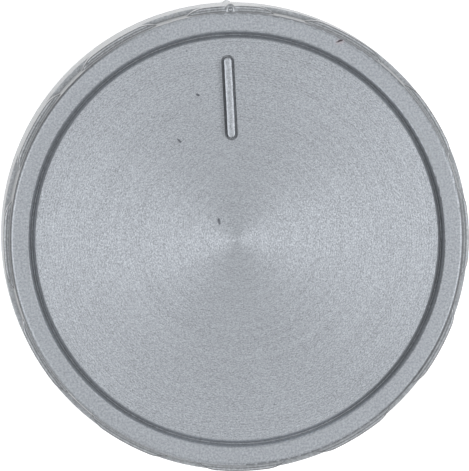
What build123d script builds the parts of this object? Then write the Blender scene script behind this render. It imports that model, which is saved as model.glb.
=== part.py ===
from build123d import *
import os
from math import cos, degrees, atan, radians, sin

# A program selector knob that stands on its base ring with its face up.
# The origin is on the shaft axis in the base plane, +Z leaves the face, and the pointer bar lies along +Y.

# Cap, outside: the grip radius is measured at the shelf on top of the pads
knob_height = 20.0
grip_radius = 30.0
shelf_drop = 2.2
ledge_drop = 6.2
wall_flare = 0.6
neck_setback = 0.4
neck_draft = 0.45
rim_edge_round = 0.45
base_edge_round = 0.3

# Cap, rim and ring groove round the face
rim_width = 2.4
groove_width = 0.85
groove_depth = 0.95
groove_draft = 0.33
groove_floor_round = 0.1
groove_lip_round = 0.2

# Cap, grip pads
pad_count = 12
pad_plateau_angle = 13.0
pad_end_round = 4.2
pad_end_angle = 50.0
pad_edge_round = 0.22
grip_turn = 1.4

# Cap, pointer rib on the wall under the pointer bar
rib_width = 1.15
rib_stand = 0.32
rib_rise = 1.1
rib_edge_round = 0.25
rib_dimple_radius = 0.35
rib_dimple_depth = 0.22
rib_dimple_inset = 0.75

# Cap, inside
wall_thickness = 1.8
face_thickness = 2.0
seat_depth = 1.0
centre_pad_radius = 4.0
key_count = 3
key_angle = 30.0
key_width = 2.0
key_stand = 2.0
key_reach = 4.0
lug_count = 6
lug_arc = 12.0
lug_bite = 0.45
lug_height = 1.6

# Pointer bar and its slot
pointer_inset = 2.47
pointer_length = 10.37
pointer_width = 1.05
pointer_stand = 0.3
pointer_edge_round = 0.2
shadow_gap = 0.3
shadow_gap_depth = 0.6
flange_border = 1.4

# Hub carrier
carrier_thickness = 1.8
carrier_ring_inset = 3.1
carrier_ring_thickness = 1.4
carrier_ring_height = 3.0
gusset_count = 6
gusset_thickness = 1.3
gusset_height = 8.5
hub_radius = 6.2
hub_recess = 0.8
hub_mouth_chamfer = 0.5

# Selector shaft that the hub takes: a round root, and an end with a flat along it
shaft_root_radius = 3.2
shaft_root_length = 5.5
shaft_radius = 3.0
shaft_flat_distance = 1.5
shaft_depth = 12.5
slit_width = 1.1
slit_length = 9.0

# Spring ring round the split hub
spring_wire_radius = 0.55
spring_seat_depth = 0.35
spring_gap_angle = 50.0
spring_from_mouth = 2.6

# Clearances
slide_clearance = 0.05
shaft_clearance = 0.05
carrier_clearance = 0.3
spring_clearance = 0.05
flange_clearance = 0.05
recess_clearance = 0.37


# Levels, angles and radii that follow from the sizes above
shelf_level = knob_height - shelf_drop
ledge_level = knob_height - ledge_drop
base_radius = grip_radius + wall_flare
neck_foot_radius = grip_radius - neck_setback
neck_top_radius = neck_foot_radius - neck_draft
wall_lean = wall_flare / shelf_level
wall_lean_angle = degrees(atan(wall_lean))
ledge_radius = base_radius - wall_lean * ledge_level
groove_outer_radius = neck_top_radius - rim_width
face_radius = groove_outer_radius - groove_width
groove_level = knob_height - groove_depth
groove_floor_inner_radius = face_radius + groove_draft
groove_floor_outer_radius = groove_outer_radius - groove_draft
face_underside = knob_height - face_thickness
seat_level = face_underside - seat_depth
pointer_outer_radius = face_radius - pointer_inset
pointer_middle = pointer_outer_radius - pointer_length / 2
pointer_rib_angle = 90.0 - grip_turn
cavity_base_radius = base_radius - wall_thickness
cavity_top_radius = neck_foot_radius - wall_thickness
seat_inner_radius = pointer_outer_radius + flange_border + recess_clearance
wall_middle_radius = cavity_top_radius + wall_thickness / 2
carrier_underside = seat_level - carrier_thickness
carrier_radius = cavity_top_radius - carrier_clearance
carrier_ring_outer_radius = carrier_radius - carrier_ring_inset
lug_top = carrier_underside - slide_clearance
key_inner_radius = carrier_radius - key_stand
key_length = wall_middle_radius - key_inner_radius
mouth_radius = shaft_root_radius + shaft_clearance
bore_radius = shaft_radius + shaft_clearance
bore_step_level = hub_recess + shaft_root_length
spring_level = hub_recess + spring_from_mouth
spring_middle_radius = hub_radius - spring_seat_depth + spring_wire_radius


def upright_plane(angle):
    """Upright plane through the shaft axis, with its x axis turned by an angle from +X."""
    turn = radians(angle)
    return Plane((0, 0, 0), x_dir=(cos(turn), sin(turn), 0), z_dir=(sin(turn), -cos(turn), 0))


def corners(sketch, *points):
    """The corners of a sketch that lie nearest to the given points."""
    return [sketch.vertices().sort_by_distance((x, y, 0))[0] for x, y in points]


# One grip pad, centred on +X: a plateau on the wall's outer radius with two rounded ends
with BuildPart() as grip_pad:
    with BuildSketch(Plane.XY.offset(ledge_level)):
        with BuildLine():
            plateau = CenterArc((0, 0), ledge_radius, -pad_plateau_angle / 2, pad_plateau_angle)
            left_end = JernArc(plateau @ 1, plateau % 1, pad_end_round, pad_end_angle)
            right_end = JernArc(plateau @ 0, -(plateau % 0), pad_end_round, -pad_end_angle)
            Line(left_end @ 1, right_end @ 1)
        make_face()
    extrude(amount=shelf_level - ledge_level, taper=wall_lean_angle)
    shelf_edges = grip_pad.faces().sort_by(Axis.Z)[-1].edges()
    fillet(shelf_edges.filter_by(GeomType.CIRCLE), pad_edge_round)

# The pointer rib, centred on +X: it leans with the wall, and its round top stands above the pad's shelf
rib_top_level = shelf_level + rib_rise
rib_tip = base_radius + rib_stand
rib_shoulder = rib_tip - rib_width / 2
rib_root = base_radius - wall_thickness * 2 / 3
with BuildPart() as pointer_rib:
    with BuildSketch():
        with BuildLine():
            Line((rib_root, rib_width / 2), (rib_root, -rib_width / 2))
            Line((rib_root, -rib_width / 2), (rib_shoulder, -rib_width / 2))
            ThreePointArc((rib_shoulder, -rib_width / 2), (rib_tip, 0), (rib_shoulder, rib_width / 2))
            Line((rib_shoulder, rib_width / 2), (rib_root, rib_width / 2))
        make_face()
    extrude(amount=rib_top_level, dir=(-wall_lean, 0, 1))
    rib_top_edges = pointer_rib.faces().sort_by(Axis.Z)[-1].edges()
    fillet(rib_top_edges.sort_by(Axis.X)[1:], rib_edge_round)
    dimple_centre = rib_tip - wall_lean * rib_top_level - rib_dimple_inset
    dimple_level = rib_top_level + rib_dimple_radius - rib_dimple_depth
    with Locations((dimple_centre, 0, dimple_level)):
        Sphere(rib_dimple_radius, mode=Mode.SUBTRACT)

# One snap lug, centred on +X: a wedge on the inside of the wall, flat towards the carrier
with BuildPart() as snap_lug:
    with BuildSketch(upright_plane(-lug_arc / 2)):
        with BuildLine():
            Polyline(
                (carrier_radius - lug_bite, lug_top),
                (wall_middle_radius, lug_top),
                (wall_middle_radius, lug_top - lug_height),
                close=True,
            )
        make_face()
    revolve(axis=Axis.Z, revolution_arc=lug_arc)

# Cap: one moulding, turned from its section and then given its pads, rib, keys, lugs and pointer slot
with BuildPart() as cap:
    with BuildSketch(Plane.XZ) as cap_section:
        with BuildLine():
            Polyline(
                (0, seat_level),
                (0, knob_height),
                (face_radius, knob_height),
                (groove_floor_inner_radius, groove_level),
                (groove_floor_outer_radius, groove_level),
                (groove_outer_radius, knob_height),
                (neck_top_radius, knob_height),
                (neck_foot_radius, ledge_level),
                (ledge_radius, ledge_level),
                (base_radius, 0),
                (cavity_base_radius, 0),
                (cavity_top_radius, seat_level),
                (seat_inner_radius, seat_level),
                (seat_inner_radius, face_underside),
                (centre_pad_radius, face_underside),
                (centre_pad_radius, seat_level),
                close=True,
            )
        make_face()
        groove_lips = corners(cap_section, (face_radius, knob_height), (groove_outer_radius, knob_height))
        fillet(groove_lips, groove_lip_round)
        groove_floor = corners(
            cap_section,
            (groove_floor_inner_radius, groove_level),
            (groove_floor_outer_radius, groove_level),
        )
        fillet(groove_floor, groove_floor_round)
        fillet(corners(cap_section, (neck_top_radius, knob_height)), rim_edge_round)
        fillet(corners(cap_section, (base_radius, 0)), base_edge_round)
    revolve(axis=Axis.Z)

    # Keys inside the wall, which turn the carrier with the cap
    with BuildSketch(Plane.XY.offset(seat_level - key_reach)):
        with PolarLocations(key_inner_radius + key_length / 2, key_count, start_angle=key_angle):
            Rectangle(key_length, key_width)
    extrude(amount=key_reach)

    # Snap lugs inside the wall, which the carrier clicks past
    with PolarLocations(0, lug_count):
        add(snap_lug.part)

    # Slot for the pointer bar, with a wider shadow gap round it at the face
    with BuildSketch(Plane.XY.offset(knob_height)):
        with Locations((0, pointer_middle)):
            SlotOverall(pointer_length + 2 * shadow_gap, pointer_width + 2 * shadow_gap, rotation=90)
    extrude(amount=-shadow_gap_depth, mode=Mode.SUBTRACT)
    with BuildSketch(Plane.XY.offset(knob_height)):
        with Locations((0, pointer_middle)):
            SlotOverall(pointer_length + 2 * slide_clearance, pointer_width + 2 * slide_clearance, rotation=90)
    extrude(amount=-face_thickness, mode=Mode.SUBTRACT)

    # Pointer rib and grip pads on the outside
    with Locations(Rotation(0, 0, pointer_rib_angle)):
        add(pointer_rib.part)
    with PolarLocations(0, pad_count, start_angle=pointer_rib_angle):
        add(grip_pad.part)

# Pointer bar: a round-ended bar through the slot, with a flange behind the face
with BuildPart() as pointer_bar:
    with BuildSketch(Plane.XY.offset(face_underside)):
        with Locations((0, pointer_middle)):
            SlotOverall(pointer_length, pointer_width, rotation=90)
    extrude(amount=face_thickness + pointer_stand)
    fillet(pointer_bar.faces().sort_by(Axis.Z)[-1].edges(), pointer_edge_round)
    with BuildSketch(Plane.XY.offset(face_underside)):
        with Locations((0, pointer_middle)):
            SlotOverall(pointer_length + 2 * flange_border, pointer_width + 2 * flange_border, rotation=90)
    extrude(amount=flange_clearance - seat_depth)

# The split hub: its bore is round and wider at the mouth, and flattened on the -Y side further in
with BuildPart() as split_hub:
    with BuildSketch(Plane.YZ):
        with BuildLine():
            Polyline(
                (mouth_radius + hub_mouth_chamfer, hub_recess),
                (hub_radius, hub_recess),
                (hub_radius, carrier_underside),
                (0, carrier_underside),
                (0, bore_step_level),
                (mouth_radius, bore_step_level),
                (mouth_radius, hub_recess + hub_mouth_chamfer),
                close=True,
            )
        make_face()
        with Locations((spring_middle_radius, spring_level)):
            Circle(spring_wire_radius + spring_clearance, mode=Mode.SUBTRACT)
    revolve(axis=Axis.Z)
    with BuildSketch(Plane.XY.offset(bore_step_level)):
        Circle(bore_radius)
        with Locations((0, -shaft_flat_distance - shaft_clearance)):
            Rectangle(2 * bore_radius, bore_radius, align=(Align.CENTER, Align.MAX), mode=Mode.SUBTRACT)
    extrude(amount=shaft_depth - shaft_root_length, mode=Mode.SUBTRACT)

    # Two slits that let the hub close on the shaft
    with BuildSketch(Plane.XY.offset(hub_recess)):
        with GridLocations(hub_radius + bore_radius, 0, 2, 1):
            Rectangle(hub_radius, slit_width)
    extrude(amount=slit_length, mode=Mode.SUBTRACT)

# Hub carrier: a disc that clicks into the cap, stiffened underneath by a ring and gussets round the hub
with BuildPart() as hub_carrier:
    with BuildSketch(Plane.XY.offset(carrier_underside)):
        Circle(carrier_radius)
        with PolarLocations(key_inner_radius + key_length / 2, key_count, start_angle=key_angle):
            Rectangle(
                key_length + 2 * carrier_clearance,
                key_width + 2 * carrier_clearance,
                mode=Mode.SUBTRACT,
            )
    extrude(amount=carrier_thickness)
    with BuildSketch(Plane.XY.offset(carrier_underside)):
        Circle(carrier_ring_outer_radius)
        Circle(carrier_ring_outer_radius - carrier_ring_thickness, mode=Mode.SUBTRACT)
    extrude(amount=-carrier_ring_height)
    add(split_hub.part)
    gusset_root = hub_radius - gusset_thickness
    gusset_tip = carrier_ring_outer_radius - carrier_ring_thickness / 2
    for gusset in range(gusset_count):
        with BuildSketch(upright_plane((gusset + 0.5) * 360 / gusset_count)):
            with BuildLine():
                Polyline(
                    (gusset_root, carrier_underside),
                    (gusset_tip, carrier_underside),
                    (gusset_tip, carrier_underside - carrier_ring_height),
                    (gusset_root, carrier_underside - gusset_height),
                    close=True,
                )
            make_face()
        extrude(amount=gusset_thickness / 2, both=True)

# Spring ring: an open ring of round wire that lies in the hub's seat
with BuildPart() as hub_spring:
    with BuildSketch(upright_plane(90 + spring_gap_angle / 2)):
        with Locations((spring_middle_radius, spring_level)):
            Circle(spring_wire_radius)
    revolve(axis=Axis.Z, revolution_arc=360 - spring_gap_angle)

os.makedirs("parts", exist_ok=True)
cap.part.label = "cap"
export_step(cap.part, "parts/cap.step")
pointer_bar.part.label = "pointer_bar"
export_step(pointer_bar.part, "parts/pointer_bar.step")
hub_carrier.part.label = "hub_carrier"
export_step(hub_carrier.part, "parts/hub_carrier.step")
hub_spring.part.label = "hub_spring"
export_step(hub_spring.part, "parts/hub_spring.step")
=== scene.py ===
import math

import bpy
from mathutils import Matrix, Vector

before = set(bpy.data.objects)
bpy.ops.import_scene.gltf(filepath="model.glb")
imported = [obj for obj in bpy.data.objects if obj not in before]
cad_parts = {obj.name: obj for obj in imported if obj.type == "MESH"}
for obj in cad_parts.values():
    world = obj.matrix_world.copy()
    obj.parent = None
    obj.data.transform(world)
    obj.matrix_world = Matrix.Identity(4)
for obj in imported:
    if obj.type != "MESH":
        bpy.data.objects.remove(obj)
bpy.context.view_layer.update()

MM = 0.001

# Camera: the face's centre lies right of and below the middle of the picture, by an offset in pixels.
# The camera leans from straight above towards the upper left, and the knob is turned a little.
PICTURE_LONG_SIDE = 471
PIXEL_ON_FACE = 0.12842 * MM
FACE_CENTRE_OFFSET = (2.4, 4.0)
CAMERA_DISTANCE = 700 * MM
CAMERA_TILT = math.radians(2.6)
CAMERA_TILT_DIRECTION = math.radians(53)
OBJECT_ROLL = math.radians(3.0)
SENSOR_WIDTH = 36.0
NEAREST = 0.01
FARTHEST = 20.0

# Lamps, by name, place in metres and watts, then the floor, and the studio's glow by the way one looks
LAMPS = (("lamp_left", (-0.5, 0.02, 0.58), 3.52), ("lamp_right", (0.5, 0.0, 0.58), 3.66))
LAMP_SIZE = (0.45, 0.7)
FLOOR_REACH = 3.0
FLOOR_GAP = 0.02 * MM
FLOOR_GLOW = 0.4
STUDIO_END_GLOW = 1.0
STUDIO_RIGHT_GLOW = 0.35
STUDIO_LEAST_GLOW = 0.05
STUDIO_TOP_GLOW = 0.6
STUDIO_ENDS = (0.65, 1.0)
STUDIO_RIGHT = (0.0, 0.9)
STUDIO_RISE = (0.2, 0.85)

# Colours, linear
SILVER = (0.305, 0.325, 0.352)
SPECK = (0.07, 0.075, 0.09, 1.0)
SCRATCH = (0.042, 0.028, 0.034, 1.0)
RUBBED = (0.40, 0.335, 0.36, 1.0)
MOULDING = (0.17, 0.17, 0.175, 1.0)
MOULDING_LIGHT = (0.21, 0.21, 0.215, 1.0)
STEEL = (0.50, 0.50, 0.51, 1.0)
STEEL_DARK = (0.36, 0.36, 0.37, 1.0)
FLOOR = (0.86, 0.86, 0.86, 1.0)
WHITE = (1.0, 1.0, 1.0, 1.0)
WALL_TINT = (1.015, 1.0, 0.975)

# Noises: the range of values that is used, then each one's features per millimetre, detail and roughness
NOISE_RANGE = (0.3, 0.7)
FLAKE = (6.0, 1.0, 0.7)
FINE_FLAKE = (10.0, 1.0, 0.7)
RIM_FLAKE = (3.8, 1.0, 0.6)
PAINT_CLOUD = (0.16, 3.0, 0.55)
POINTER_FLAKE = (6.5, 1.0, 0.6)
POINTER_MOTTLE = (1.0, 2.0, 0.6)
POINTER_MOTTLE_STRETCH = (3.0, 2.2, 3.0)
POINTER_CLOUD = (0.3, 2.0, 0.5)
MARK_FRAY = (7.0, 1.0, 0.5)
CARRIER_CLOUD = (0.12, 3.0, 0.5)
CARRIER_GRAIN = (4.0, 2.0, 0.5)
WIRE_LINES = (9.0, 2.0, 0.5)
WIRE_STAIN = (0.5, 3.0, 0.5)

# Arcs round the axis on the face: features per millimetre along and across them, and detail
LONG_ARCS = (0.05, 2.6, 2.0)
FINE_ARCS = (0.15, 6.5, 2.0)
STREAKS = (3.6, 8.5, 1.0)
ARC_ROUGHNESS = 0.6

# Grain: how far each pattern moves the paint's brightness, its metal or its roughness up and down
FLAKE_GRAIN = 0.6
FINE_FLAKE_GRAIN = 0.3
STREAK_GRAIN = 0.5
FACE_FLAKE_SHARE = 0.6
FACE_GRAIN = 0.6
FACE_METAL_GRAIN = 0.95
FACE_LINE_GRAIN = 0.05
TOOL_MARK_GRAIN = 0.05
TOOL_MARKS_PER_MM = 3.1
TOOL_MARK_RADIUS = (12.0, 22.0)
RIM_GRAIN = 0.21
CLOUD_GRAIN = 0.02
POINTER_GRAIN = 0.22
POINTER_MOTTLE_GRAIN = (0.74, 1.3)
ROUGHNESS_GRAIN = 0.08

# Gloss: the paint's metal, roughness and, from the middle of the face outwards, the share of spun gloss
PAINT_METALLIC = 0.5
PLAIN_ROUGHNESS = 0.34
SPUN_ROUGHNESS = 0.42
SPUN_ANISOTROPY = 0.6
SPUN_RADIUS = (3.0, 24.0)
SPUN_SHARE = (0.75, 0.46)
INSIDE_ADDED_ROUGHNESS = 0.1
CARRIER_ROUGHNESS = (0.42, 0.56)
WIRE_ROUGHNESS = (0.22, 0.4)
WIRE_ANISOTROPY = 0.4
MOULDING_CLOUD = (0.35, 0.65)
STAIN_CLOUD = (0.35, 0.7)

# Bumps: strength and depth
LONG_ARC_BUMP = (0.2, 0.02 * MM)
FINE_ARC_BUMP = (0.2, 0.008 * MM)
FLAKE_BUMP = (0.5, 0.012 * MM)
POINTER_BUMP = (0.4, 0.012 * MM)
CARRIER_BUMP = (0.2, 0.01 * MM)
WIRE_BUMP = (0.2, 0.006 * MM)

# Painted light and shade: what the paint's brightness is multiplied by in each region
GROOVE_FLOOR_TONE = 0.6
GROOVE_WALL_TONE = 1.1
GROOVE_TOP_TONE = 1.45
GROOVE_RIGHT_TONE = 0.85
GROOVE_FRONT_TONE = 1.15
LIP_SIDES_TONE = 0.6
LIP_BACK_TONE = 0.85
RIM_EDGE_TONE = 1.12
RIM_EDGE_LEFT_TONE = 0.5
RIM_EDGE_RIGHT_TONE = 0.5
RIM_LINE_TONE = 0.52
PAD_EDGE_TONE = 0.55
PAD_LINE_DEPTH = 0.35
RIB_TONE = 0.7
RIB_ROOT_TONE = 1.2
RIB_LEAST_CREASE = 0.9
DIMPLE_TONE = 1.25
BESIDE_RIB_TONE = 1.9
NECK_TONE = 0.6
LEDGE_TONE = 1.25
WALL_TOP_TONE = 0.78
WALL_FOOT_TONE = 1.0
CREASE_TONE = 0.76
CREASE_REACH = 0.5 * MM
CREASE_SHADE = (0.35, 1.0)
SLOT_SIDE_TONE = 0.75
POINTER_FLANK_HIGHLIGHT = 0.28
POINTER_EDGE_TONE = 0.85

# Sizes of the knob in millimetres, as its solids have them
FACE_TOP = 20.0
FACE_RADIUS = 25.9
GROOVE_OUTER_RADIUS = 26.75
RIB_TOP_PLACE = (0.73, 29.7, 0.0)

# Where each region fades, empty at the first value and full at the second, or where a tone changes.
# Radii, heights, x and y are in millimetres. Facing is 1 where the surface looks straight up.
FACE_BORDER = (FACE_RADIUS, FACE_RADIUS - 0.15)
FACE_SKIN = (FACE_TOP - 0.1, FACE_TOP - 0.02)
GROOVE_INNER_BORDER = (FACE_RADIUS - 0.3, FACE_RADIUS - 0.2)
GROOVE_OUTER_BORDER = (GROOVE_OUTER_RADIUS + 0.3, GROOVE_OUTER_RADIUS + 0.2)
GROOVE_WALL_LEVEL = (FACE_TOP - 0.95, FACE_TOP - 0.75)
GROOVE_TOP_LEVEL = (FACE_TOP - 0.45, FACE_TOP - 0.1)
BELOW_FACE = (FACE_TOP - 0.04, FACE_TOP - 0.12)
LIP_LEVEL = (FACE_TOP - 0.25, FACE_TOP - 0.15)
LIP_FACING = (0.998, 0.985)
OUTSIDE_RADIUS = (27.5, 28.0)
OUTSIDE_LEVEL = (1.0, 2.0)
RIM_EDGE_TOP = (FACE_TOP - 0.006, FACE_TOP - 0.045)
RIM_EDGE_FOOT = (FACE_TOP - 0.6, FACE_TOP - 0.45)
RIM_LINE_TOP = (FACE_TOP - 0.1, FACE_TOP - 0.16)
RIM_LINE_FOOT = (FACE_TOP - 0.6, FACE_TOP - 0.5)
EDGE_STEEP = (0.22, 0.35)
EDGE_FLAT = (0.985, 0.84)
PAD_EDGE_TOP = (19.2, 19.0)
PAD_FOOT = (17.0, 17.6)
PAD_HEAD = (19.6, 19.45)
PAD_TOP_LEVEL = (18.1, 18.0)
PAD_TOP_FACING = (0.9, 0.95)
RIB_REACH = (0.75, 0.62)
RIB_ROOT_Y = (29.3, 29.6)
DIMPLE_REACH = (0.36, 0.27)
BESIDE_RIB_INNER = (0.55, 0.65)
BESIDE_RIB_OUTER = (1.3, 0.8)
NECK_LEVEL = (FACE_TOP - 0.5, FACE_TOP - 0.65)
NECK_OUTER = (29.85, 29.7)
NECK_INNER = (28.5, 28.7)
NECK_FACING = (0.4, 0.2)
LEDGE_LEVEL = (15.0, 14.5)
LEDGE_FACING = (0.3, 0.5)
WALL_INNER = (29.85, 29.95)
WALL_FACING = (0.4, 0.3)
WALL_LEVEL = (4.0, 16.0)
SLOT_SIDE_LEFT = (-1.6, -0.95)
SLOT_SIDE_RIGHT = (-0.5, -0.6)
SLOT_SIDE_FRONT = (12.9, 14.0)
SLOT_SIDE_BACK = (23.6, 22.6)
TINT_LEVEL = (FACE_TOP - 0.4, FACE_TOP - 0.7)
TINT_RADIUS = (28.0, 28.2)
INSIDE_RADIUS = (29.2, 29.0)
INSIDE_LEVEL = (17.8, 17.7)
MARKS_LEVEL = (FACE_TOP - 0.2, FACE_TOP - 0.1)
POINTER_FLANK_INNER = (0.08, 0.28)
POINTER_FLANK_OUTER = (0.5, 0.32)
POINTER_EDGE_STEEP = (0.45, 0.7)
POINTER_EDGE_FLAT = (0.999, 0.93)

# Painted bands of light and shade on top of the pads, by the radius where they start and the step between
# them
PAD_LINE_START = 29.35
PAD_LINE_STEP = 0.33

# Directions, and where the painted light and shade change round the knob: 1 lies straight in the direction,
# and -1 opposite
LEFT = (-0.94, 0.34, 0.0)
RIGHT = (1.0, 0.0, 0.0)
FRONT = (0.1, -1.0, 0.0)
UP = (0.0, 0.0, 1.0)
GROOVE_AGAINST_LEFT = (-0.95, -0.6)
GROOVE_TO_FRONT = (0.75, 1.0)
LIP_TO_SIDES = (0.6, 0.98)
LIP_AGAINST_FRONT = (-0.98, -0.5)
RIM_TO_LEFT = (0.6, 0.9)
RIM_AGAINST_LEFT = (-0.98, -0.75)

# Marks on the face and the rim: middle in millimetres, half length, half width, turn in degrees, strength
SPECKS = (
    ((-4.06, 18.81), 0.31, 0.20, -30, 0.95),
    ((-6.77, 13.10), 0.38, 0.14, -42, 0.9),
    ((-6.60, 12.92), 0.20, 0.19, -42, 0.85),
    ((-2.15, 2.38), 0.50, 0.20, -82, 0.8),
    ((-2.19, 2.62), 0.26, 0.19, -82, 0.9),
    ((-5.21, 24.49), 0.18, 0.13, 70, 0.6),
    ((-10.99, -16.26), 0.12, 0.10, 0, 0.6),
    ((-4.91, -5.66), 0.11, 0.08, 90, 0.55),
    ((3.70, -21.45), 0.20, 0.10, 80, 0.55),
)
SCRATCH_SPOT = ((14.58, 24.82), 0.68, 0.15, 20.7, 1.0)
SCRATCH_BORDER = ((14.60, 24.75), 0.85, 0.45, 20.7, 0.4)
MARK_BORDER = (0.5, 1.15)
MARK_FRAY_REACH = 0.12


class Graph:
    """A short way to write a material's or a world's nodes: each call gives back the output of its node."""

    def __init__(self, owner):
        owner.use_nodes = True
        self.tree = owner.node_tree
        self.tree.nodes.clear()

    def put(self, socket, value):
        if isinstance(value, bpy.types.NodeSocket):
            self.tree.links.new(value, socket)
        else:
            socket.default_value = value

    def node(self, kind, inputs=(), **settings):
        made = self.tree.nodes.new(kind)
        for key, value in settings.items():
            setattr(made, key, value)
        for key, value in dict(inputs).items():
            self.put(made.inputs[key], value)
        return made

    def math(self, operation, *values):
        made = self.node("ShaderNodeMath", operation=operation)
        for socket, value in zip(made.inputs, values):
            self.put(socket, value)
        return made.outputs[0]

    def total(self, first, *others):
        for other in others:
            first = self.math("ADD", first, other)
        return first

    def product(self, first, *others):
        for other in others:
            first = self.math("MULTIPLY", first, other)
        return first

    def vector_math(self, operation, *values, scale=None):
        made = self.node("ShaderNodeVectorMath", operation=operation)
        for socket, value in zip(made.inputs, values):
            self.put(socket, value)
        if scale is not None:
            self.put(made.inputs["Scale"], scale)
        gives_number = operation in ("LENGTH", "DISTANCE", "DOT_PRODUCT")
        return made.outputs["Value" if gives_number else "Vector"]

    def vector(self, **parts):
        return self.node("ShaderNodeCombineXYZ", parts).outputs[0]

    def parts(self, vector):
        return self.node("ShaderNodeSeparateXYZ", {"Vector": vector}).outputs

    def noise(self, vector, scale, detail, roughness, output="Fac"):
        inputs = {"Vector": vector, "Scale": scale, "Detail": detail, "Roughness": roughness}
        return self.node("ShaderNodeTexNoise", inputs).outputs[output]

    def spread(self, value, low, high, to_low=0.0, to_high=1.0, smooth=False):
        inputs = {"Value": value, "From Min": low, "From Max": high, "To Min": to_low, "To Max": to_high}
        kind = "SMOOTHSTEP" if smooth else "LINEAR"
        return self.node("ShaderNodeMapRange", inputs, interpolation_type=kind).outputs["Result"]

    def fade(self, value, bounds, smooth=False):
        """0 at the first bound, 1 at the second."""
        return self.spread(value, *bounds, smooth=smooth)

    def toned(self, region, tone):
        """1 outside a region, and the tone in it."""
        return self.spread(region, 0.0, 1.0, 1.0, tone)

    def vary(self, noise, low, high):
        """Noise between two values, with its rare extremes cut off."""
        return self.spread(noise, *NOISE_RANGE, low, high)

    def swing(self, noise, reach):
        """Noise as far below zero as above it."""
        return self.vary(noise, -reach, reach)

    def mix(self, factor, first, second):
        made = self.node("ShaderNodeMix", data_type="RGBA")
        for socket, value in ((0, factor), (6, first), (7, second)):
            self.put(made.inputs[socket], value)
        return made.outputs[2]

    def mix_number(self, factor, first, second):
        made = self.node("ShaderNodeMix", data_type="FLOAT")
        for socket, value in ((0, factor), (2, first), (3, second)):
            self.put(made.inputs[socket], value)
        return made.outputs[0]

    def join(self, kind, first, second, inputs=()):
        """Two shaders through a mix or add node, whose last two inputs they are."""
        made = self.node(kind, inputs)
        self.put(made.inputs[-2], first)
        self.put(made.inputs[-1], second)
        return made.outputs[0]

    def bump(self, height, strength, distance, normal=None):
        inputs = {"Height": height, "Strength": strength, "Distance": distance}
        if normal is not None:
            inputs["Normal"] = normal
        return self.node("ShaderNodeBump", inputs).outputs["Normal"]

    def measure(self):
        """Place in millimetres, with its radius and height, and directions out from the axis and round it."""
        here = self.node("ShaderNodeTexCoord").outputs["Object"]
        self.place = self.vector_math("SCALE", here, scale=1 / MM)
        self.x, self.y, self.height = self.parts(self.place)
        self.flat = self.vector(X=self.x, Y=self.y)
        self.radius = self.vector_math("LENGTH", self.flat)
        self.outward = self.vector_math("NORMALIZE", self.flat)
        self.around = self.vector_math("CROSS_PRODUCT", UP, self.outward)
        self.facing = self.parts(self.node("ShaderNodeNewGeometry").outputs["Normal"])[2]

    def towards(self, direction):
        """From -1 to 1: how far round the knob a place lies towards a direction."""
        return self.vector_math("DOT_PRODUCT", self.outward, direction)

    def arcs(self, along, across, detail):
        """Noise drawn out round the axis, with so many features per millimetre along and across the arcs."""
        depth = self.vector(Z=self.radius)
        spot = self.vector_math("ADD", self.vector_math("SCALE", self.flat, scale=along),
                                self.vector_math("SCALE", depth, scale=across))
        return self.noise(spot, 1.0, detail, ARC_ROUGHNESS)

    def surface(self, shader, output="ShaderNodeOutputMaterial"):
        self.put(self.node(output).inputs["Surface"], shader)


def groove_painted_light(g, in_groove):
    """The ring groove in painted shade and light: a dark floor, light walls, darker on the right and lighter
    at the front, and lips with painted shade at the sides and the back.
    """
    frontward = g.towards(FRONT)
    sunk = g.product(in_groove, g.fade(g.height, BELOW_FACE))
    depth_tone = g.product(
        g.spread(g.height, *GROOVE_WALL_LEVEL, GROOVE_FLOOR_TONE, GROOVE_WALL_TONE),
        g.spread(g.height, *GROOVE_TOP_LEVEL, 1.0, GROOVE_TOP_TONE / GROOVE_WALL_TONE),
        g.spread(g.towards(LEFT), *GROOVE_AGAINST_LEFT, GROOVE_RIGHT_TONE, 1.0, smooth=True),
        g.spread(frontward, *GROOVE_TO_FRONT, 1.0, GROOVE_FRONT_TONE, smooth=True),
    )
    lips = g.product(in_groove, g.fade(g.height, LIP_LEVEL), g.fade(g.facing, LIP_FACING))
    lip_tone = g.product(
        g.spread(g.math("ABSOLUTE", g.towards(RIGHT)), *LIP_TO_SIDES, 1.0, LIP_SIDES_TONE, smooth=True),
        g.spread(frontward, *LIP_AGAINST_FRONT, LIP_BACK_TONE, 1.0, smooth=True),
    )
    return g.product(g.toned(sunk, depth_tone), g.toned(lips, lip_tone))


def rim_painted_light(g, outside):
    """Painted light and shade on the rim's rounded edge: a painted highlight, with painted shade to the left
    and the right, and a painted dark line of shade just under it.
    """
    leftward = g.towards(LEFT)
    edge = g.product(g.fade(g.height, RIM_EDGE_TOP), g.fade(g.height, RIM_EDGE_FOOT), outside)
    edge_tone = g.product(
        g.spread(leftward, *RIM_TO_LEFT, RIM_EDGE_TONE, RIM_EDGE_LEFT_TONE, smooth=True),
        g.spread(leftward, *RIM_AGAINST_LEFT, RIM_EDGE_RIGHT_TONE / RIM_EDGE_TONE, 1.0, smooth=True),
    )
    line = g.product(g.fade(g.height, RIM_LINE_TOP), g.fade(g.height, RIM_LINE_FOOT), outside)
    return g.product(g.toned(edge, edge_tone), g.toned(line, RIM_LINE_TONE))


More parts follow.
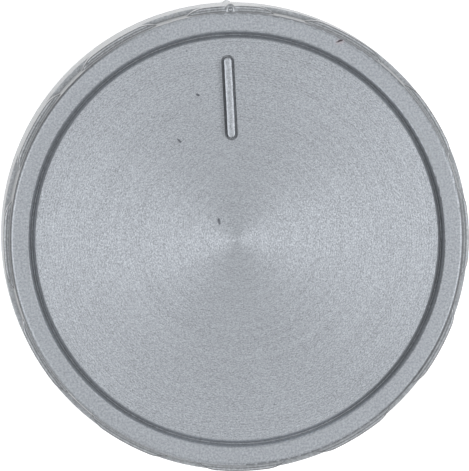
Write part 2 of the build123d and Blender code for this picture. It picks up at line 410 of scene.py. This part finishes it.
def pad_painted_light(g, outside, on_pad, rib):
    """Painted light and shade on the grip pads: painted shade on their edges, painted bands of light and
    shade on top, and painted shade on the pointer rib, with painted light at its root, in its dimple and
    beside it.
    """
    over_edge = g.product(g.fade(g.facing, EDGE_STEEP, smooth=True), g.fade(g.facing, EDGE_FLAT, smooth=True))
    edge = g.product(over_edge, g.fade(g.height, PAD_EDGE_TOP), outside, g.toned(rib, 0.0))
    top = g.product(g.fade(g.facing, PAD_TOP_FACING), on_pad, g.fade(g.height, PAD_TOP_LEVEL), outside)
    # Painted bands of light and shade across the pad tops, round the axis
    turns = g.product(g.math("SUBTRACT", g.radius, PAD_LINE_START), 2 * math.pi / PAD_LINE_STEP)
    lines = g.product(top, g.math("SINE", turns), PAD_LINE_DEPTH)
    from_rib = g.vector_math("DISTANCE", g.flat, RIB_TOP_PLACE)
    dimple = g.product(g.fade(from_rib, DIMPLE_REACH), on_pad)
    beside = g.product(g.fade(from_rib, BESIDE_RIB_INNER), g.fade(from_rib, BESIDE_RIB_OUTER), on_pad)
    return g.product(
        g.total(lines, 1.0),
        g.toned(edge, PAD_EDGE_TONE),
        g.toned(rib, g.spread(g.y, *RIB_ROOT_Y, RIB_ROOT_TONE, RIB_TONE)),
        g.toned(dimple, DIMPLE_TONE),
        g.toned(beside, BESIDE_RIB_TONE),
    )


def side_painted_light(g):
    """Painted shade on the neck and painted light on the ledge between the pads, and painted shade on the
    wall, which darkens towards its top.
    """
    off_axis = g.fade(g.radius, NECK_INNER)
    neck = g.product(g.fade(g.height, NECK_LEVEL), g.fade(g.radius, NECK_OUTER), off_axis,
                     g.fade(g.facing, NECK_FACING))
    ledge = g.product(g.fade(g.height, LEDGE_LEVEL), g.fade(g.facing, LEDGE_FACING), off_axis)
    wall = g.product(g.fade(g.radius, WALL_INNER), g.fade(g.facing, WALL_FACING))
    wall_tone = g.spread(g.height, *WALL_LEVEL, WALL_FOOT_TONE, WALL_TOP_TONE)
    return g.product(g.toned(neck, NECK_TONE), g.toned(ledge, LEDGE_TONE), g.toned(wall, wall_tone))


def crease_painted_shade(g, in_groove, rib):
    """Painted shade in the creases, where ambient occlusion finds them, except in the groove and on the rib,
    which have tones of their own.
    """
    shade = g.node("ShaderNodeAmbientOcclusion", {"Distance": CREASE_REACH}, samples=8, only_local=True)
    crease = g.spread(shade.outputs["AO"], *CREASE_SHADE, CREASE_TONE, 1.0)
    return g.math("MAXIMUM", g.math("MAXIMUM", crease, in_groove), g.product(rib, RIB_LEAST_CREASE))


def slot_side_painted_shade(g):
    """Painted shade: the face is a little darker along the left side of the pointer's slot."""
    beside = g.product(
        g.fade(g.x, SLOT_SIDE_LEFT, smooth=True),
        g.fade(g.x, SLOT_SIDE_RIGHT),
        g.fade(g.y, SLOT_SIDE_FRONT, smooth=True),
        g.fade(g.y, SLOT_SIDE_BACK, smooth=True),
    )
    return g.toned(beside, SLOT_SIDE_TONE)


def add_marks(g, colour):
    """Specks of dirt, and a scratch with a rubbed border, each an oval with a soft, ragged edge."""
    ragged = g.vector_math("SUBTRACT", g.noise(g.flat, *MARK_FRAY, output="Color"), (0.5, 0.5, 0.5))
    reach = (MARK_FRAY_REACH, MARK_FRAY_REACH, 0.0)
    frayed = g.vector_math("ADD", g.flat, g.vector_math("MULTIPLY", ragged, reach))
    on_top = g.fade(g.height, MARKS_LEVEL)

    def spot(middle, half_length, half_width, turn, strength):
        away = g.vector_math("SUBTRACT", frayed, (*middle, 0.0))
        right, back = math.cos(math.radians(turn)), math.sin(math.radians(turn))
        along = g.vector_math("DOT_PRODUCT", away, (right / half_length, back / half_length, 0.0))
        across = g.vector_math("DOT_PRODUCT", away, (-back / half_width, right / half_width, 0.0))
        from_middle = g.vector_math("LENGTH", g.vector(X=along, Y=across))
        return g.product(on_top, g.spread(from_middle, *MARK_BORDER, strength, 0.0, smooth=True))

    specks = 0.0
    for speck in SPECKS:
        specks = g.math("MAXIMUM", specks, spot(*speck))
    colour = g.mix(specks, colour, SPECK)
    colour = g.mix(spot(*SCRATCH_BORDER), colour, RUBBED)
    return g.mix(spot(*SCRATCH_SPOT), colour, SCRATCH)


def paint_cap(g):
    """Metallic silver paint, spun on the face and grainy on the rim and walls, and bare moulding inside, with
    painted light and shade over the paint.
    """
    on_face = g.product(g.fade(g.radius, FACE_BORDER), g.fade(g.height, FACE_SKIN))
    in_groove = g.product(g.fade(g.radius, GROOVE_INNER_BORDER), g.fade(g.radius, GROOVE_OUTER_BORDER))
    outside = g.product(g.fade(g.height, OUTSIDE_LEVEL), g.fade(g.radius, OUTSIDE_RADIUS))
    inside = g.product(g.fade(g.radius, INSIDE_RADIUS), g.fade(g.height, INSIDE_LEVEL))
    on_pad = g.product(g.fade(g.height, PAD_FOOT), g.fade(g.height, PAD_HEAD))
    rib = g.product(g.fade(g.vector_math("DISTANCE", g.flat, RIB_TOP_PLACE), RIB_REACH), on_pad)

    # Spun lines: long arcs, each a little different from its neighbours
    lines = g.arcs(*LONG_ARCS)
    fine_lines = g.arcs(*FINE_ARCS)
    streaks = g.arcs(*STREAKS)
    turns = g.product(g.radius, TOOL_MARKS_PER_MM * 2 * math.pi)
    tool_marks = g.product(g.math("SINE", turns), g.fade(g.radius, TOOL_MARK_RADIUS))

    # Metal flake in the paint
    cloud = g.noise(g.place, *PAINT_CLOUD)
    grain = g.total(g.swing(g.noise(g.place, *FLAKE), FLAKE_GRAIN),
                    g.swing(g.noise(g.place, *FINE_FLAKE), FINE_FLAKE_GRAIN))
    face_grain = g.total(g.swing(streaks, STREAK_GRAIN), g.product(grain, FACE_FLAKE_SHARE))
    face_pattern = g.total(g.product(face_grain, FACE_GRAIN), g.swing(lines, FACE_LINE_GRAIN),
                           g.product(tool_marks, TOOL_MARK_GRAIN))
    rim_pattern = g.swing(g.noise(g.place, *RIM_FLAKE), RIM_GRAIN)
    pattern = g.mix_number(on_face, rim_pattern, face_pattern)

    # The paint's grain, times the painted light and shade of the rim, pads, sides, groove, creases and the
    # slot's side
    tone = g.product(
        g.total(pattern, g.swing(cloud, CLOUD_GRAIN), 1.0),
        rim_painted_light(g, outside),
        pad_painted_light(g, outside, on_pad, rib),
        side_painted_light(g),
        groove_painted_light(g, in_groove),
        crease_painted_shade(g, in_groove, rib),
        slot_side_painted_shade(g),
    )
    colour = g.vector_math("SCALE", SILVER, scale=tone)
    tinted = g.product(g.fade(g.height, TINT_LEVEL), g.fade(g.radius, TINT_RADIUS))
    colour = g.mix(tinted, colour, g.vector_math("MULTIPLY", colour, WALL_TINT))
    colour = add_marks(g, colour)
    colour = g.mix(inside, colour, g.mix(g.fade(cloud, MOULDING_CLOUD), MOULDING, MOULDING_LIGHT))

    normal = g.bump(g.product(on_face, lines), *LONG_ARC_BUMP)
    normal = g.bump(g.product(on_face, fine_lines), *FINE_ARC_BUMP, normal)
    normal = g.bump(grain, *FLAKE_BUMP, normal)
    roughness = g.total(g.spread(on_face, 0.0, 1.0, PLAIN_ROUGHNESS, SPUN_ROUGHNESS),
                        g.product(grain, ROUGHNESS_GRAIN), g.product(inside, INSIDE_ADDED_ROUGHNESS))
    plain = g.node("ShaderNodeBsdfPrincipled", {
        "Base Color": colour,
        "Metallic": g.spread(inside, 0.0, 1.0, PAINT_METALLIC, 0.0),
        "Roughness": roughness,
        "Normal": normal,
    })
    spun = g.node("ShaderNodeBsdfPrincipled", {
        "Base Color": colour,
        "Metallic": g.total(g.product(face_grain, FACE_METAL_GRAIN), PAINT_METALLIC),
        "Roughness": roughness,
        "Anisotropic": SPUN_ANISOTROPY,
        "Tangent": g.outward,
        "Normal": normal,
    })
    share = g.product(on_face, g.spread(g.radius, *SPUN_RADIUS, *SPUN_SHARE))
    return g.join("ShaderNodeMixShader", plain.outputs[0], spun.outputs[0], {"Fac": share})


def paint_pointer(g):
    """The same silver paint with a coarse grain, with painted highlights along both flanks and painted shade
    at the edges.
    """
    flake = g.noise(g.place, *POINTER_FLAKE)
    mottle = g.noise(g.vector_math("MULTIPLY", g.place, POINTER_MOTTLE_STRETCH), *POINTER_MOTTLE)
    cloud = g.noise(g.place, *POINTER_CLOUD)
    from_middle = g.math("ABSOLUTE", g.x)
    # Painted highlights along both flanks
    flank_painted_highlight = g.product(g.fade(from_middle, POINTER_FLANK_INNER, smooth=True),
                      g.fade(from_middle, POINTER_FLANK_OUTER, smooth=True))
    # Painted shade where the edges turn away
    edge_painted_shade = g.product(g.fade(g.facing, POINTER_EDGE_STEEP), g.fade(g.facing, POINTER_EDGE_FLAT))
    pattern = g.total(
        g.swing(flake, POINTER_GRAIN),
        g.vary(mottle, *POINTER_MOTTLE_GRAIN),
        g.product(flank_painted_highlight, POINTER_FLANK_HIGHLIGHT),
        g.swing(cloud, CLOUD_GRAIN),
    )
    tone = g.product(pattern, g.toned(edge_painted_shade, POINTER_EDGE_TONE))
    return g.node("ShaderNodeBsdfPrincipled", {
        "Base Color": g.vector_math("SCALE", SILVER, scale=tone),
        "Metallic": PAINT_METALLIC,
        "Roughness": g.vary(flake, PLAIN_ROUGHNESS, SPUN_ROUGHNESS),
        "Normal": g.bump(mottle, *POINTER_BUMP),
    }).outputs[0]


def mould_carrier(g):
    """Grey engineering plastic as it leaves the mould."""
    cloud = g.noise(g.place, *CARRIER_CLOUD)
    grain = g.noise(g.place, *CARRIER_GRAIN)
    return g.node("ShaderNodeBsdfPrincipled", {
        "Base Color": g.mix(g.fade(cloud, MOULDING_CLOUD), MOULDING, MOULDING_LIGHT),
        "Roughness": g.vary(grain, *CARRIER_ROUGHNESS),
        "Normal": g.bump(grain, *CARRIER_BUMP),
    }).outputs[0]


def draw_spring(g):
    """Drawn spring wire, with fine lines along it."""
    lines = g.noise(g.vector(X=g.radius, Y=g.height), *WIRE_LINES)
    stain = g.noise(g.place, *WIRE_STAIN)
    return g.node("ShaderNodeBsdfPrincipled", {
        "Base Color": g.mix(g.fade(stain, STAIN_CLOUD), STEEL, STEEL_DARK),
        "Metallic": 1.0,
        "Roughness": g.vary(lines, *WIRE_ROUGHNESS),
        "Anisotropic": WIRE_ANISOTROPY,
        "Tangent": g.around,
        "Normal": g.bump(lines, *WIRE_BUMP),
    }).outputs[0]


def finish_nodes():
    """Each CAD node gets its own material."""
    looks = (
        ("cap", "silver_paint", paint_cap),
        ("pointer_bar", "pointer_paint", paint_pointer),
        ("hub_carrier", "grey_moulding", mould_carrier),
        ("hub_spring", "spring_steel", draw_spring),
    )
    for node, name, look in looks:
        material = bpy.data.materials.new(name)
        g = Graph(material)
        g.measure()
        g.surface(look(g))
        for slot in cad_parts[node].material_slots:
            slot.material = material


def make_floor():
    """A pale floor just under the knob, which glows a little to the camera and in reflections."""
    ways = ((-1, -1), (1, -1), (1, 1), (-1, 1))
    mesh = bpy.data.meshes.new("floor")
    mesh.from_pydata([(x * FLOOR_REACH, y * FLOOR_REACH, -FLOOR_GAP) for x, y in ways], [], [(0, 1, 2, 3)])
    floor = bpy.data.objects.new("floor", mesh)
    bpy.context.scene.collection.objects.link(floor)
    material = bpy.data.materials.new("floor")
    g = Graph(material)
    plain = g.node("ShaderNodeBsdfDiffuse", {"Color": FLOOR})
    path = g.node("ShaderNodeLightPath").outputs
    seen = g.math("MAXIMUM", path["Is Camera Ray"], path["Is Glossy Ray"])
    glow = g.node("ShaderNodeEmission", {"Color": WHITE, "Strength": g.product(seen, FLOOR_GLOW)})
    g.surface(g.join("ShaderNodeAddShader", plain.outputs[0], glow.outputs[0]))
    mesh.materials.append(material)


def make_studio():
    """A soft studio: light above, at both ends and on the right, and dim on the left."""
    world = bpy.data.worlds.new("studio")
    bpy.context.scene.world = world
    g = Graph(world)
    x, y, z = g.parts(g.node("ShaderNodeTexCoord").outputs["Generated"])
    to_ends = g.spread(g.math("ABSOLUTE", y), *STUDIO_ENDS, 0.0, STUDIO_END_GLOW, smooth=True)
    to_right = g.spread(x, *STUDIO_RIGHT, 0.0, STUDIO_RIGHT_GLOW, smooth=True)
    horizon = g.total(g.math("MAXIMUM", to_ends, to_right), STUDIO_LEAST_GLOW)
    rise = g.fade(z, STUDIO_RISE, smooth=True)
    strength = g.total(g.product(horizon, g.math("SUBTRACT", 1.0, rise)), g.product(rise, STUDIO_TOP_GLOW))
    background = g.node("ShaderNodeBackground", {"Color": WHITE, "Strength": strength})
    g.surface(background.outputs[0], "ShaderNodeOutputWorld")


def make_lamp(name, place, watts):
    """A large soft lamp that looks at the knob."""
    lamp = bpy.data.lights.new(name, "AREA")
    lamp.shape = "RECTANGLE"
    lamp.size, lamp.size_y = LAMP_SIZE
    lamp.energy = watts
    obj = bpy.data.objects.new(name, lamp)
    obj.location = place
    obj.rotation_mode = "QUATERNION"
    obj.rotation_quaternion = (-Vector(place)).to_track_quat("-Z", "Y")
    bpy.context.scene.collection.objects.link(obj)


def make_camera():
    """The photograph's view: almost square on to the face."""
    right = Vector((math.cos(OBJECT_ROLL), -math.sin(OBJECT_ROLL), 0))
    up = Vector((math.sin(OBJECT_ROLL), math.cos(OBJECT_ROLL), 0))
    towards = up * math.sin(CAMERA_TILT_DIRECTION) - right * math.cos(CAMERA_TILT_DIRECTION)
    away = Vector((0, 0, math.cos(CAMERA_TILT))) + towards * math.sin(CAMERA_TILT)
    centre = Vector((0, 0, FACE_TOP * MM))
    place = centre + away * CAMERA_DISTANCE
    aim = centre - right * FACE_CENTRE_OFFSET[0] * PIXEL_ON_FACE + up * FACE_CENTRE_OFFSET[1] * PIXEL_ON_FACE
    back = (place - aim).normalized()
    side = (right - back * right.dot(back)).normalized()
    top = back.cross(side)
    data = bpy.data.cameras.new("camera")
    data.sensor_width = SENSOR_WIDTH
    data.lens = SENSOR_WIDTH * CAMERA_DISTANCE / (PICTURE_LONG_SIDE * PIXEL_ON_FACE)
    data.clip_start = NEAREST
    data.clip_end = FARTHEST
    camera = bpy.data.objects.new("camera", data)
    camera.matrix_world = Matrix.Translation(place) @ Matrix((side, top, back)).transposed().to_4x4()
    bpy.context.scene.collection.objects.link(camera)
    bpy.context.scene.camera = camera


finish_nodes()
make_floor()
make_studio()
for lamp in LAMPS:
    make_lamp(*lamp)
make_camera()
bpy.context.scene.view_settings.view_transform = "Standard"
